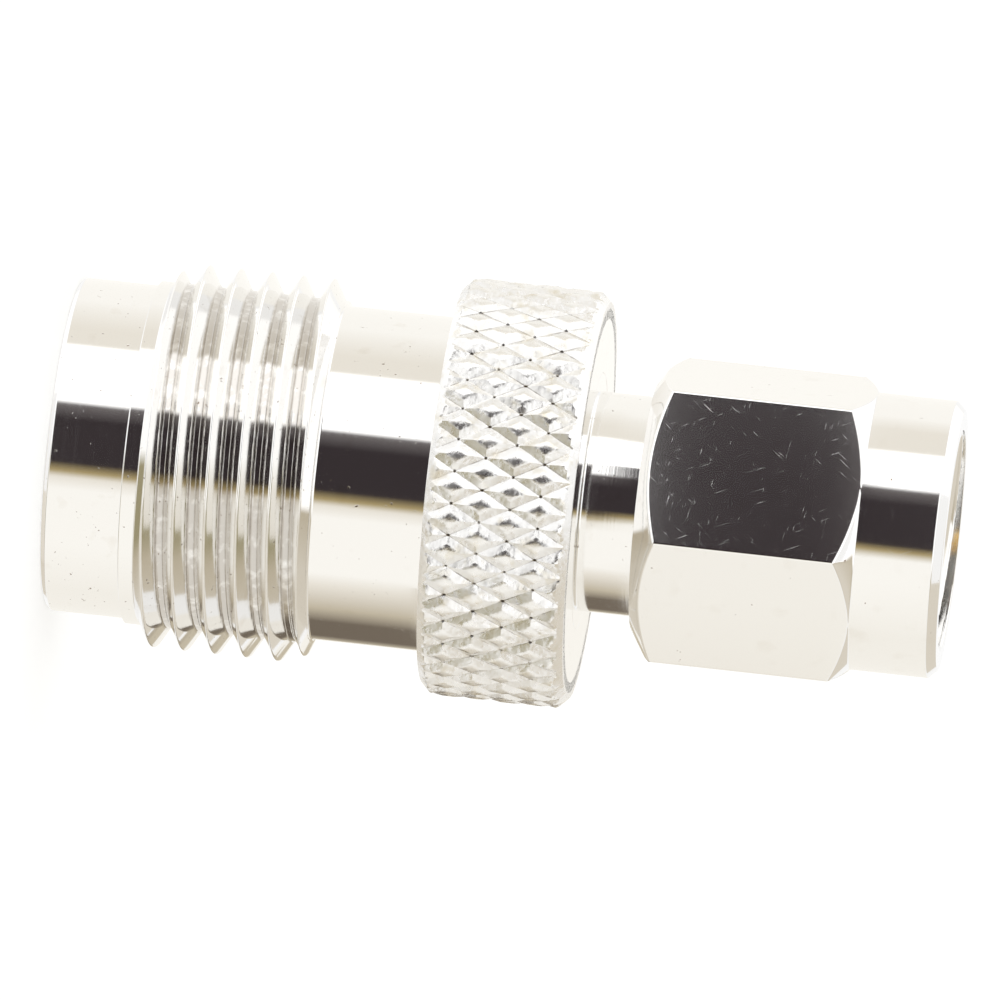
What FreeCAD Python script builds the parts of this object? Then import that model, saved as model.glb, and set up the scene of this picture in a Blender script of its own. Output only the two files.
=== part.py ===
"""TNC jack to SMA plug adapter, standing on the front face of its TNC nose.

Lengths are in millimetres and angles in degrees. +Z runs along the mating axis from the TNC side to
the SMA side, and the origin is the centre of the nose's front face.
"""
import FreeCAD, Part
import math
import os
import types

import Sketcher

# The driving dimensions. Each becomes a cell of the sheet, under its own name.
DIMENSIONS = {
    # TNC jack, outside
    "thread_radius": 5.56,
    "thread_depth": 0.60,
    "thread_pitch": 0.907,
    "thread_length": 5.40,
    "thread_lead_in": 0.45,
    "thread_root_flat": 0.10,
    "groove_phase": 0.41,
    "nose_relief": 0.14,
    "nose_length": 2.28,
    "nose_edge": 0.12,
    "neck_relief": 0.13,
    "neck_length": 3.33,
    # Knurled collar
    "collar_radius": 6.05,
    "collar_length": 4.20,
    "collar_edge": 0.20,
    "knurl_depth": 0.25,
    "knurl_count": 40,
    "knurl_columns": 5,
    # TNC jack, inside
    "nose_wall": 0.77,
    "jack_bore_depth": 5.25,
    "jack_bore_edge": 0.25,
    "lip_height": 0.75,
    "lip_length": 0.75,
    "insulator_catch": 0.20,
    "sleeve_wall": 1.18,
    "sleeve_setback": 0.35,
    # Joint between the two shells
    "spigot_step": 0.525,
    "spigot_length": 3.20,
    # SMA plug shell
    "shank_radius": 3.175,
    "shank_length": 6.30,
    "ferrule_wall": 0.25,
    "ferrule_length": 1.25,
    "ferrule_edge": 0.08,
    "flange_step": 0.35,
    "flange_length": 0.80,
    # Snap ring and the grooves that it sits in
    "ring_thickness": 0.60,
    "ring_groove_depth": 0.375,
    "ring_reach": 0.30,
    "ring_inner_gap": 0.05,
    "ring_outer_gap": 0.10,
    "ring_side_gap": 0.03,
    "ring_split": 1.20,
    "ring_setback": 1.95,
    "nut_float": 0.30,
    # Coupling nut
    "visible_shank": 1.60,
    "nut_clearance": 0.075,
    "nut_wall": 0.75,
    "nut_reach": 2.93,
    "hex_angle": 12.8,
    "hex_length": 6.36,
    "hex_back_land": 0.30,
    "hex_back_chamfer": 0.68,
    "hex_front_chamfer": 0.50,
    "nut_front_edge": 0.25,
    "nut_thread_depth": 0.375,
    "nut_thread_relief": 0.88,
    "nut_lead_in": 0.42,
    # Face gasket
    "gasket_width": 0.70,
    "gasket_thickness": 0.70,
    "gasket_setback": 0.175,
    # Contacts
    "contact_setback": 0.10,
    "contact_radius": 1.10,
    "contact_relief": 0.12,
    "contact_edge": 0.15,
    "finger_wall": 0.40,
    "socket_depth": 4.50,
    "slot_width": 0.25,
    "slot_length": 4.00,
    "shoulder_step": 0.40,
    "shoulder_length": 0.80,
    "core_radius": 0.635,
    "tail_step": 0.185,
    "tail_length": 1.50,
    "pin_step": 0.175,
    "pin_reach": 2.40,
    "pin_tip": 0.28,
}

# The flanks of the thread stand 30 degrees off its radius.
FLANK_SLOPE = math.tan(math.radians(30.0))
# The groove tool stands this far outside the thread, so that it cuts the crest cleanly.
TOOL_OVERSHOOT = 0.04
# The flat at the pin's point, as a share of the pin's radius.
PIN_POINT = 0.4
SIDES_OF_HEX = 6


class Size:
    """A length that knows both its value and the sheet expression that gives it."""

    def __init__(self, value, text):
        self.value = value
        self.text = text

    def __add__(self, other):
        return Size(self.value + other.value, f"{self.text} + {other.text}")

    def __sub__(self, other):
        return Size(self.value - other.value, f"{self.text} - ({other.text})")

    def __neg__(self):
        return Size(-self.value, f"-({self.text})")

    def __mul__(self, factor):
        return Size(self.value * factor, f"({self.text}) * {factor!r}")


def make_sheet(doc):
    """Write the driving dimensions to a sheet and return them as bound sizes."""
    sheet = doc.addObject("Spreadsheet::Sheet", "Sizes")
    for row, (alias, value) in enumerate(DIMENSIONS.items(), start=1):
        sheet.set(f"A{row}", alias)
        sheet.set(f"B{row}", str(value))
        sheet.setAlias(f"B{row}", alias)
    doc.recompute()
    bound = {alias: Size(float(sheet.get(alias)), f"Sizes.{alias}") for alias in DIMENSIONS}
    return types.SimpleNamespace(**bound)


def origin_plane(body, role):
    """Find one of a body's own origin planes by its role."""
    return next(item for item in body.Origin.OriginFeatures if item.Role == role)


def outline(body, name, corners, role="XZ_Plane", height=None, angle=None):
    """Draw a closed outline whose corners are bound to the sheet, across and up from the origin."""
    sketch = body.newObject("Sketcher::SketchObject", name)
    sketch.AttachmentSupport = (origin_plane(body, role), "")
    sketch.MapMode = "FlatFace"
    if angle is not None:
        turn = FreeCAD.Rotation(FreeCAD.Vector(0, 0, 1), angle.value)
        sketch.AttachmentOffset = FreeCAD.Placement(FreeCAD.Vector(), turn)
        sketch.setExpression(".AttachmentOffset.Rotation.Angle", angle.text)
    if height is not None:
        sketch.setExpression(".AttachmentOffset.Base.z", height.text)
    points = [FreeCAD.Vector(across.value, up.value, 0) for across, up in corners]
    count = len(points)
    for index in range(count):
        sketch.addGeometry(Part.LineSegment(points[index], points[(index + 1) % count]), False)
    for index in range(count):
        sketch.addConstraint(Sketcher.Constraint("Coincident", index, 2, (index + 1) % count, 1))
    for index, (across, up) in enumerate(corners):
        place = sketch.addConstraint(Sketcher.Constraint("DistanceX", -1, 1, index, 1, across.value))
        sketch.setExpression(f"Constraints[{place}]", across.text)
        place = sketch.addConstraint(Sketcher.Constraint("DistanceY", -1, 1, index, 1, up.value))
        sketch.setExpression(f"Constraints[{place}]", up.text)
    return sketch


def turned(doc, name, corners):
    """Turn a section, given as radius and height, about the mating axis."""
    body = doc.addObject("PartDesign::Body", name)
    sketch = outline(body, f"{name}_section", corners)
    turn = body.newObject("PartDesign::Revolution", f"{name}_turned")
    turn.Profile = sketch
    turn.ReferenceAxis = (sketch, ["V_Axis"])
    turn.Angle = 360.0
    doc.recompute()
    return body


def checked_cut(doc, body, feature):
    """Recompute after a cut and stop if it took no material away."""
    before = feature.BaseFeature.Shape.Volume
    doc.recompute()
    if feature.Shape.Volume >= before:
        raise RuntimeError(f"{feature.Name} cuts nothing")
    body.Tip = feature


def repeat_round(doc, body, cut, count, angle):
    """Repeat a cut round the mating axis."""
    pattern = body.newObject("PartDesign::PolarPattern", f"{cut.Name}_pattern")
    pattern.Originals = [cut]
    pattern.Axis = (cut.Profile[0], ["N_Axis"])
    pattern.Angle = angle
    pattern.Occurrences = count
    body.Tip = pattern
    doc.recompute()
    return pattern


def knurl_blank(doc, size, start):
    """Build the diamond knurl as a solid of flat facets.

    Peaks and crossings of the grooves alternate on a grid, so that each diamond is a pyramid with
    its long diagonal along the axis, as a 30 degree knurl gives it.
    """
    columns = round(size.knurl_columns.value)
    steps = 2 * round(size.knurl_count.value)
    peak = size.collar_radius.value
    valley = peak - size.knurl_depth.value
    column_width = size.collar_length.value / columns

    def corner(column, step):
        radius = peak if (column + step) % 2 == 0 else valley
        angle = 2.0 * math.pi * (step % steps) / steps
        height = start.value + column * column_width
        return FreeCAD.Vector(radius * math.cos(angle), radius * math.sin(angle), height)

    def facet(*points):
        return Part.Face(Part.makePolygon([*points, points[0]]))

    facets = []
    for column in range(columns):
        for step in range(steps):
            low_left = corner(column, step)
            low_right = corner(column, step + 1)
            top_left = corner(column + 1, step)
            top_right = corner(column + 1, step + 1)
            if (column + step) % 2 == 0:
                facets.append(facet(low_left, low_right, top_left))
                facets.append(facet(low_right, top_right, top_left))
            else:
                facets.append(facet(low_left, low_right, top_right))
                facets.append(facet(low_left, top_right, top_left))
    for column in (0, columns):
        facets.append(facet(*[corner(column, step) for step in range(steps)]))
    shell = Part.makeShell(facets)
    shell.sewShape()
    solid = Part.makeSolid(shell)
    if solid.Volume < 0:
        solid.reverse()
    blank = doc.addObject("Part::Feature", "knurl_blank")
    blank.Shape = solid
    return blank


def make_tnc_shell(doc, size, radius, level):
    """Nose, coupling thread, neck and knurled collar, turned from one bar."""
    root = radius.thread_root
    core = size.collar_radius - size.knurl_depth * 2.0
    mouth = radius.jack_bore + size.jack_bore_edge
    body = turned(doc, "tnc_turned_body", [
        (mouth, level.zero),
        (radius.nose - size.nose_edge, level.zero),
        (radius.nose, size.nose_edge),
        (radius.nose, level.thread_start),
        (root, level.thread_start),
        (size.thread_radius, level.thread_start + size.thread_lead_in),
        (size.thread_radius, level.neck_start),
        (radius.neck, level.neck_start),
        (radius.neck, level.collar_start),
        (core, level.collar_start),
        (core, level.collar_end),
        (radius.spigot, level.collar_end),
        (radius.spigot, level.joint),
        (radius.insulator, level.joint),
        (radius.insulator, level.lip_end),
        (radius.lip, level.lip_end),
        (radius.lip, size.jack_bore_depth),
        (radius.jack_bore, size.jack_bore_depth),
        (radius.jack_bore, size.jack_bore_edge),
    ])

    overshoot = Size(TOOL_OVERSHOOT, repr(TOOL_OVERSHOOT))
    tool_radius = size.thread_radius + overshoot
    root_half = size.thread_root_flat * 0.5
    mouth_half = root_half + (size.thread_depth + overshoot) * FLANK_SLOPE
    first_root = level.thread_start + size.groove_phase - size.thread_pitch * 2.0
    groove = outline(body, "thread_groove", [
        (root, first_root - root_half),
        (tool_radius, first_root - mouth_half),
        (tool_radius, first_root + mouth_half),
        (root, first_root + root_half),
    ])
    thread = body.newObject("PartDesign::SubtractiveHelix", "coupling_thread")
    thread.Profile = groove
    thread.ReferenceAxis = (groove, ["V_Axis"])
    thread.Mode = 0
    thread.setExpression("Pitch", size.thread_pitch.text)
    thread.setExpression("Height", (size.thread_length + size.thread_pitch * 3.0).text)
    checked_cut(doc, body, thread)

    inner = core - size.knurl_depth
    rim = turned(doc, "collar_rim", [
        (inner, level.collar_start),
        (size.collar_radius - size.collar_edge, level.collar_start),
        (size.collar_radius, level.collar_start + size.collar_edge),
        (size.collar_radius, level.collar_end - size.collar_edge),
        (size.collar_radius - size.collar_edge, level.collar_end),
        (inner, level.collar_end),
    ])
    knurled = doc.addObject("Part::Common", "knurled_rim")
    knurled.Base = rim
    knurled.Tool = knurl_blank(doc, size, level.collar_start)
    shell = doc.addObject("Part::Fuse", "tnc_shell")
    shell.Base = body
    shell.Tool = knurled
    doc.recompute()
    return shell


def make_sma_shell(doc, size, radius, level):
    """Spigot, polished shank with its ring groove, gasket shoulder and ferrule."""
    groove = size.shank_radius - size.ring_groove_depth
    return turned(doc, "sma_shell", [
        (radius.flange, level.joint),
        (radius.spigot, level.joint),
        (radius.spigot, level.collar_end),
        (size.shank_radius, level.collar_end),
        (size.shank_radius, level.groove_start),
        (groove, level.groove_start),
        (groove, level.groove_end),
        (size.shank_radius, level.groove_end),
        (size.shank_radius, level.shoulder),
        (radius.ferrule, level.shoulder),
        (radius.ferrule, level.reference - size.ferrule_edge),
        (radius.ferrule - size.ferrule_edge, level.reference),
        (radius.sma_bore, level.reference),
        (radius.sma_bore, level.flange_end),
        (radius.flange, level.flange_end),
    ])


def make_coupling_nut(doc, size, radius, level):
    """Loose hexagonal coupling nut: turned outside and inside, then six flats milled."""
    bore = radius.nut_bore
    flat = bore + size.nut_wall
    corner = flat * (2.0 / math.sqrt(3.0))
    groove = radius.ring_outer + size.ring_outer_gap
    groove_start = level.ring_start - size.ring_side_gap
    groove_end = level.ring_end + size.ring_side_gap
    thread = size.shank_radius - size.nut_thread_depth
    thread_start = level.shoulder + size.nut_thread_relief
    body = turned(doc, "coupling_nut", [
        (bore, level.nut_start),
        (bore + size.hex_back_land, level.nut_start),
        (corner, level.nut_start + size.hex_back_chamfer),
        (corner, level.hex_end - size.hex_front_chamfer),
        (flat, level.hex_end),
        (flat, level.nut_end - size.nut_front_edge),
        (flat - size.nut_front_edge, level.nut_end),
        (thread + size.nut_lead_in, level.nut_end),
        (thread, level.nut_end - size.nut_lead_in),
        (thread, thread_start),
        (bore, thread_start),
        (bore, groove_end),
        (groove, groove_end),
        (groove, groove_start),
        (bore, groove_start),
    ])
    outside = corner * 1.2
    milling = outline(body, "flat_milling", [
        (flat, -outside),
        (outside, -outside),
        (outside, outside),
        (flat, outside),
    ], role="XY_Plane", height=level.nut_start, angle=size.hex_angle)
    flats = body.newObject("PartDesign::Pocket", "milled_flat")
    flats.Profile = milling
    flats.Reversed = True
    flats.setExpression("Length", size.hex_length.text)
    checked_cut(doc, body, flats)
    repeat_round(doc, body, flats, SIDES_OF_HEX, 360.0)
    return body


def make_retaining_ring(doc, size, radius, level):
    """Split snap ring that keeps the nut on the shank."""
    inner = size.shank_radius - size.ring_groove_depth + size.ring_inner_gap
    outer = radius.ring_outer
    body = turned(doc, "nut_retaining_ring", [
        (inner, level.ring_start),
        (outer, level.ring_start),
        (outer, level.ring_end),
        (inner, level.ring_end),
    ])
    half_split = size.ring_split * 0.5
    reach = outer * 1.2
    opening = outline(body, "ring_opening", [
        (level.zero, -half_split),
        (reach, -half_split),
        (reach, half_split),
        (level.zero, half_split),
    ], role="XY_Plane", height=level.ring_start)
    split = body.newObject("PartDesign::Pocket", "ring_split_cut")
    split.Profile = opening
    split.Reversed = True
    split.setExpression("Length", size.ring_thickness.text)
    checked_cut(doc, body, split)
    return body


def make_face_gasket(doc, size, radius, level):
    """Silicone ring on the shoulder round the ferrule, which the mating thread presses on."""
    top = level.shoulder + size.gasket_thickness
    return turned(doc, "face_gasket", [
        (radius.ferrule, level.shoulder),
        (radius.gasket, level.shoulder),
        (radius.gasket, top),
        (radius.ferrule, top),
    ])


def make_tnc_insulator(doc, size, radius, level):
    """PTFE sleeve round the socket contact, with a body held between lip and spigot."""
    relief = size.contact_radius + size.contact_relief
    sleeve = relief + size.sleeve_wall
    return turned(doc, "tnc_insulator", [
        (relief, size.sleeve_setback),
        (sleeve, size.sleeve_setback),
        (sleeve, size.jack_bore_depth),
        (radius.lip, size.jack_bore_depth),
        (radius.lip, level.lip_end),
        (radius.insulator, level.lip_end),
        (radius.insulator, level.joint),
        (radius.shoulder, level.joint),
        (radius.shoulder, level.joint - size.shoulder_length),
        (size.contact_radius, level.joint - size.shoulder_length),
        (size.contact_radius, size.jack_bore_depth),
        (relief, size.jack_bore_depth),
    ])


def make_sma_insulator(doc, size, radius, level):
    """PTFE core of the SMA side, flush with the ferrule, its flange clamped at the joint."""
    return turned(doc, "sma_insulator", [
        (size.core_radius, level.joint),
        (radius.flange, level.joint),
        (radius.flange, level.flange_end),
        (radius.sma_bore, level.flange_end),
        (radius.sma_bore, level.reference),
        (size.core_radius, level.reference),
    ])


def make_socket_contact(doc, size, radius, level):
    """Gold-plated socket contact with four spring fingers."""
    front = size.sleeve_setback + size.contact_setback
    socket = size.contact_radius - size.finger_wall
    body = turned(doc, "tnc_socket_contact", [
        (socket, front),
        (size.contact_radius - size.contact_edge, front),
        (size.contact_radius, front + size.contact_edge),
        (size.contact_radius, level.joint - size.shoulder_length),
        (radius.shoulder, level.joint - size.shoulder_length),
        (radius.shoulder, level.joint),
        (radius.tail, level.joint),
        (radius.tail, level.joint - size.tail_length),
        (level.zero, level.joint - size.tail_length),
        (level.zero, front + size.socket_depth),
        (socket, front + size.socket_depth),
    ])
    half_width = size.slot_width * 0.5
    reach = size.contact_radius * 1.2
    saw_line = outline(body, "finger_slot", [
        (-reach, -half_width),
        (reach, -half_width),
        (reach, half_width),
        (-reach, half_width),
    ], role="XY_Plane", height=front)
    slot = body.newObject("PartDesign::Pocket", "sawn_slot")
    slot.Profile = saw_line
    slot.Reversed = True
    slot.setExpression("Length", size.slot_length.text)
    checked_cut(doc, body, slot)
    repeat_round(doc, body, slot, 2, 90.0)
    return body


def make_pin_contact(doc, size, radius, level):
    """Gold-plated pin contact, its tail pressed into the back of the socket contact."""
    tip = level.reference + size.pin_reach
    pin = size.core_radius - size.pin_step
    return turned(doc, "sma_pin_contact", [
        (level.zero, level.joint - size.tail_length),
        (radius.tail, level.joint - size.tail_length),
        (radius.tail, level.joint),
        (size.core_radius, level.joint),
        (size.core_radius, level.reference),
        (pin, level.reference),
        (pin, tip - size.pin_tip),
        (pin * PIN_POINT, tip),
        (level.zero, tip),
    ])


def nest_radii(size):
    """Work out the radii that two or more pieces share, from the thread inwards and the shank out."""
    radius = types.SimpleNamespace()
    radius.thread_root = size.thread_radius - size.thread_depth
    radius.nose = radius.thread_root - size.nose_relief
    radius.neck = radius.thread_root - size.neck_relief
    radius.jack_bore = radius.nose - size.nose_wall
    radius.lip = radius.jack_bore - size.lip_height
    radius.insulator = radius.lip + size.insulator_catch
    radius.spigot = size.shank_radius + size.spigot_step
    radius.gasket = size.shank_radius - size.gasket_setback
    radius.ferrule = radius.gasket - size.gasket_width
    radius.sma_bore = radius.ferrule - size.ferrule_wall
    radius.flange = radius.sma_bore + size.flange_step
    radius.nut_bore = size.shank_radius + size.nut_clearance
    radius.ring_outer = radius.nut_bore + size.ring_reach
    radius.shoulder = size.contact_radius + size.shoulder_step
    radius.tail = size.core_radius - size.tail_step
    return radius


def stack_levels(size):
    """Work out the heights of the shoulders and faces along the mating axis."""
    level = types.SimpleNamespace(zero=Size(0.0, "0"))
    level.lip_end = size.jack_bore_depth + size.lip_length
    level.thread_start = size.nose_length
    level.neck_start = level.thread_start + size.thread_length
    level.collar_start = level.neck_start + size.neck_length
    level.collar_end = level.collar_start + size.collar_length
    level.joint = level.collar_end - size.spigot_length
    level.flange_end = level.joint + size.flange_length
    level.shoulder = level.collar_end + size.shank_length
    level.reference = level.shoulder + size.ferrule_length
    level.nut_start = level.collar_end + size.visible_shank
    level.hex_end = level.nut_start + size.hex_length
    level.nut_end = level.reference + size.nut_reach
    level.ring_start = level.nut_start + size.ring_setback
    level.ring_end = level.ring_start + size.ring_thickness
    level.groove_start = level.ring_start - size.ring_side_gap
    level.groove_end = level.ring_end + size.ring_side_gap + size.nut_float
    return level


def check_document(doc, pieces):
    """Stop if a feature failed or a piece is not one valid solid."""
    for item in doc.Objects:
        if "Invalid" in item.State or "Error" in item.State:
            raise RuntimeError(f"{item.Name} failed: {item.State}")
    for piece in pieces:
        shape = piece.Shape
        if shape.isNull() or not shape.isValid() or len(shape.Solids) != 1:
            raise RuntimeError(f"{piece.Name} is not one valid solid")


doc = FreeCAD.newDocument("adapter")
size = make_sheet(doc)
radius = nest_radii(size)
level = stack_levels(size)
pieces = [
    make_tnc_shell(doc, size, radius, level),
    make_sma_shell(doc, size, radius, level),
    make_coupling_nut(doc, size, radius, level),
    make_retaining_ring(doc, size, radius, level),
    make_face_gasket(doc, size, radius, level),
    make_tnc_insulator(doc, size, radius, level),
    make_sma_insulator(doc, size, radius, level),
    make_socket_contact(doc, size, radius, level),
    make_pin_contact(doc, size, radius, level),
]
doc.recompute()
check_document(doc, pieces)

os.makedirs("parts", exist_ok=True)
for piece in pieces:
    piece.Label = piece.Name
    piece.Shape.exportStep(f"parts/{piece.Label}.step")
    box = piece.Shape.BoundBox
    print(f"{piece.Label}: {piece.Shape.Volume:.2f} mm3, z {box.ZMin:.3f} to {box.ZMax:.3f}")
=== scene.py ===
# %% [markdown]
# # A TNC to SMA adapter
#
# The object is a coaxial adapter, 26 mm long: a threaded TNC jack, a knurled collar, a polished
# shank, and an SMA plug with a loose hexagonal nut. Nearly all of it is turned on a lathe, so the
# lesson turns blanks from sections, cuts the threads into them, and rolls the knurl.
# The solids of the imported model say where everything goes.

import math

import bmesh
import bpy
from mathutils import Matrix, Vector


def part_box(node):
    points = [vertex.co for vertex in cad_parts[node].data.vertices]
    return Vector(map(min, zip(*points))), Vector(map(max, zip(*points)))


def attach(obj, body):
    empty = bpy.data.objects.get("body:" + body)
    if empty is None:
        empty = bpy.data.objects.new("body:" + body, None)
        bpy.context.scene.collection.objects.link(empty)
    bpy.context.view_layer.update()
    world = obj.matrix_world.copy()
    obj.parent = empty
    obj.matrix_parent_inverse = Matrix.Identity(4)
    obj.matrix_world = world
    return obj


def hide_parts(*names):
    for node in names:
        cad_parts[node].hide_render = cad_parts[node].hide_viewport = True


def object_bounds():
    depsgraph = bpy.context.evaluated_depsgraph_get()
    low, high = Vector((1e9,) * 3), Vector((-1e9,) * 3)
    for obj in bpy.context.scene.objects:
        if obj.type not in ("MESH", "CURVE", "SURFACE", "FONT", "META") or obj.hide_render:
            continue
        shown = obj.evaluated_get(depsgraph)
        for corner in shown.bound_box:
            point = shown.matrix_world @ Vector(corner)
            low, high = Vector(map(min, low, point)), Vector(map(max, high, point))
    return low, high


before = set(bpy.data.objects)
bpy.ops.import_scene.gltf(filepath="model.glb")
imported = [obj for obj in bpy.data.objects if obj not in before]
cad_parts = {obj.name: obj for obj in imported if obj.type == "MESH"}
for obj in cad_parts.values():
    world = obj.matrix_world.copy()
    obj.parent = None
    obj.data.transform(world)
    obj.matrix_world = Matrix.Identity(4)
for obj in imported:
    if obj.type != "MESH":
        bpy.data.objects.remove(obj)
solid_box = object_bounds()
MM = 0.001
low_corner, high_corner = [[round(value / MM, 2) for value in corner] for corner in solid_box]
print("solids from", low_corner, "to", high_corner)

# %% [markdown]
# ## Sizes
#
# A lathe works from radii and shoulders. The shoulders come from the boxes of the solids, so the
# dressed pieces land exactly on them. The small steps, edges and thread forms that a box can't
# tell are the usual ones of these two interfaces, and each stands where it is first needed. All
# sizes are in millimetres, and MM turns them into the metres that Blender works in.


# %% Read radii and shoulders off the solids
def reach(node):
    """Return the outer radius, the bottom and the top of a turned solid, in millimetres."""
    low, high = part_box(node)
    return max(high.x, high.y) / MM, low.z / MM, high.z / MM


COLLAR_RADIUS, NOSE_FACE, COLLAR_TOP = reach("tnc_shell")
SPIGOT_RADIUS, JOINT, REFERENCE = reach("sma_shell")
_, NUT_BACK, NUT_FRONT = reach("coupling_nut")
RING_RADIUS, RING_BACK, RING_FRONT = reach("nut_retaining_ring")
GASKET_RADIUS, SHOULDER, GASKET_TOP = reach("face_gasket")
BODY_RADIUS, _, _ = reach("tnc_insulator")
FLANGE_RADIUS, _, _ = reach("sma_insulator")
CORE_RADIUS, PIN_BACK, PIN_TIP = reach("sma_pin_contact")

COLLAR_LENGTH = 4.20
COLLAR_BOTTOM = COLLAR_TOP - COLLAR_LENGTH
print(f"collar {COLLAR_RADIUS:.2f} radius, from {COLLAR_BOTTOM:.2f} to {COLLAR_TOP:.2f}")
print(f"shoulder {SHOULDER:.2f}, nut from {NUT_BACK:.2f} to {NUT_FRONT:.2f}")

# %% [markdown]
# ## Tools for nodes and colours
#
# Materials and geometry trees are both made of nodes. One small function adds a node with its
# settings and links, and one turns a colour as a screen shows it into the linear values that
# the renderer works in. In a tree even a plain sum is a node. So a measure that a tree works out
# is wrapped in a small class, and a sum with it is written as a sum.


# %% Helpers for nodes and colours
def linear(code):
    """Turn an sRGB hex colour into linear red, green, blue and an alpha of 1."""
    values = [int(code[start:start + 2], 16) / 255 for start in (1, 3, 5)]
    return (*[v / 12.92 if v <= 0.04045 else ((v + 0.055) / 1.055) ** 2.4 for v in values], 1.0)


def add(tree, kind, sockets=None, **settings):
    """Add a node. Settings are its own properties; sockets maps inputs to values or to outputs."""
    node = tree.nodes.new(kind)
    for name, value in settings.items():
        setattr(node, name, value)
    for key, value in (sockets or {}).items():
        if isinstance(value, Measure):
            value = value.socket
        if isinstance(value, bpy.types.NodeSocket):
            tree.links.new(value, node.inputs[key])
        else:
            node.inputs[key].default_value = value
    return node


class Measure:
    """A number that a tree works out, with the sums that the trees below need."""

    def __init__(self, tree, socket):
        self.tree = tree
        self.socket = socket

    def through(self, operation, *others):
        """Pass this measure, and any others after it, through one of Blender's operations."""
        values = dict(enumerate((self, *others)))
        node = add(self.tree, "ShaderNodeMath", values, operation=operation)
        return Measure(self.tree, node.outputs[0])

    def __add__(self, other):
        return self.through("ADD", other)

    def __sub__(self, other):
        return self.through("SUBTRACT", other)

    def __mul__(self, other):
        return self.through("MULTIPLY", other)

    def __truediv__(self, other):
        return self.through("DIVIDE", other)


print("linear of #808080:", round(linear("#808080")[0], 3))

# %% [markdown]
# ## Turning
#
# A turned piece is one outline of radius and height, swept round the axis. Real edges are never
# sharp: each corner gets a small round, and a support point just beyond it keeps the flats flat
# when the surface is shaded smoothly. That is what makes an edge catch the light as a fine line.
# A Screw modifier could sweep the outline too. Here the skin is built ring by ring instead, because
# a section may then change with the angle, as the nut's does further on.


# %% Round the corners of a section
ROUND_STEPS = 4
ROUND_LIMIT = 0.42
SMALLEST_ROUND = 0.0001
SUPPORT = 0.02
SUPPORT_LIMIT = 0.15
NEAR = 0.01


def rounded(corners):
    """Return a closed outline whose corners, given as radius, height and rounding, are rounded."""
    outline = []
    count = len(corners)
    for index, (radius, height, rounding) in enumerate(corners):
        corner = Vector((radius, height))
        before = Vector(corners[index - 1][:2]) - corner
        after = Vector(corners[(index + 1) % count][:2]) - corner
        half = before.angle(after) / 2
        room = min(before.length, after.length) * ROUND_LIMIT
        setback = min(rounding / math.tan(half), room)
        if setback < SMALLEST_ROUND:
            outline.append(corner)
            continue
        before.normalize()
        after.normalize()
        arc_radius = setback * math.tan(half)
        centre = corner + (before + after).normalized() * (arc_radius / math.sin(half))
        start = (corner + before * setback - centre).normalized()
        end = (corner + after * setback - centre).normalized()
        support = min(SUPPORT, room * SUPPORT_LIMIT)
        outline.append(corner + before * (setback + support))
        for step in range(ROUND_STEPS + 1):
            outline.append(centre + start.slerp(end, step / ROUND_STEPS) * arc_radius)
        outline.append(corner + after * (setback + support))
    return outline


def with_rows(outline, low, high, radius, spacing):
    """Add close rows where the outline runs along one radius, for a thread to be cut there."""
    result = []
    count = len(outline)
    for index, point in enumerate(outline):
        following = outline[(index + 1) % count]
        result.append(point)
        on_blank = abs(point.x - radius) < NEAR and abs(following.x - radius) < NEAR
        inside = low - NEAR <= min(point.y, following.y) and max(point.y, following.y) <= high + NEAR
        length = (following - point).length
        if on_blank and inside and length > spacing:
            rows = math.ceil(length / spacing)
            result += [point.lerp(following, row / rows) for row in range(1, rows)]
    return result


# %% Sweep sections round the axis
WELD = 1e-8


def finished(name, bm, sharp_angle=50.0):
    """Turn a bmesh into an object with outward normals, smooth but for its sharp edges."""
    bmesh.ops.remove_doubles(bm, verts=bm.verts, dist=WELD)
    bmesh.ops.recalc_face_normals(bm, faces=bm.faces)
    if bm.calc_volume(signed=True) < 0:
        bmesh.ops.reverse_faces(bm, faces=bm.faces)
    mesh = bpy.data.meshes.new(name)
    bm.to_mesh(mesh)
    bm.free()
    for polygon in mesh.polygons:
        polygon.use_smooth = True
    mesh.set_sharp_from_angle(angle=math.radians(sharp_angle))
    piece = bpy.data.objects.new(name, mesh)
    bpy.context.scene.collection.objects.link(piece)
    return piece


def sweep(name, outlines, angles):
    """Join one outline for each angle, in order, into a ring-shaped closed skin."""
    bm = bmesh.new()
    rings = []
    for outline, angle in zip(outlines, angles):
        way = Vector((math.cos(angle), math.sin(angle), 0.0))
        rings.append([bm.verts.new((way * p.x + Vector((0, 0, p.y))) * MM) for p in outline])
    rows = len(rings[0])
    for index, ring in enumerate(rings):
        following = rings[(index + 1) % len(rings)]
        for row in range(rows):
            other = (row + 1) % rows
            bm.faces.new((ring[row], following[row], following[other], ring[other]))
    return finished(name, bm)


def turn(name, outline, columns=192):
    """Turn one outline about the axis."""
    angles = [math.tau * column / columns for column in range(columns)]
    return sweep(name, [outline] * columns, angles)


def dress(piece, node, body, material):
    """Put a finished piece in the place of a solid, on its body, with its finish."""
    piece.data.materials.clear()
    piece.data.materials.append(material)
    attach(piece, body)
    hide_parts(node)
    triangles = sum(len(polygon.vertices) - 2 for polygon in piece.data.polygons)
    print(f"{piece.name}: {triangles} triangles in place of {node}")


# %% [markdown]
# ## Finishes
#
# Polished plating has almost no colour of its own: what shows is the room, broken up by what the
# tool left. So each metal is a bright mirror with three layers of detail. Turning marks are
# rings, so their noise reads the distance from the axis and the height and nothing else. Fine
# scratches are stretched noise, and small stains change the colour and the gloss a little.
# Painted pictures could carry such marks too, but noise in real sizes has no seams on a turned
# piece, and it stays sharp however near the camera comes.


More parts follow.
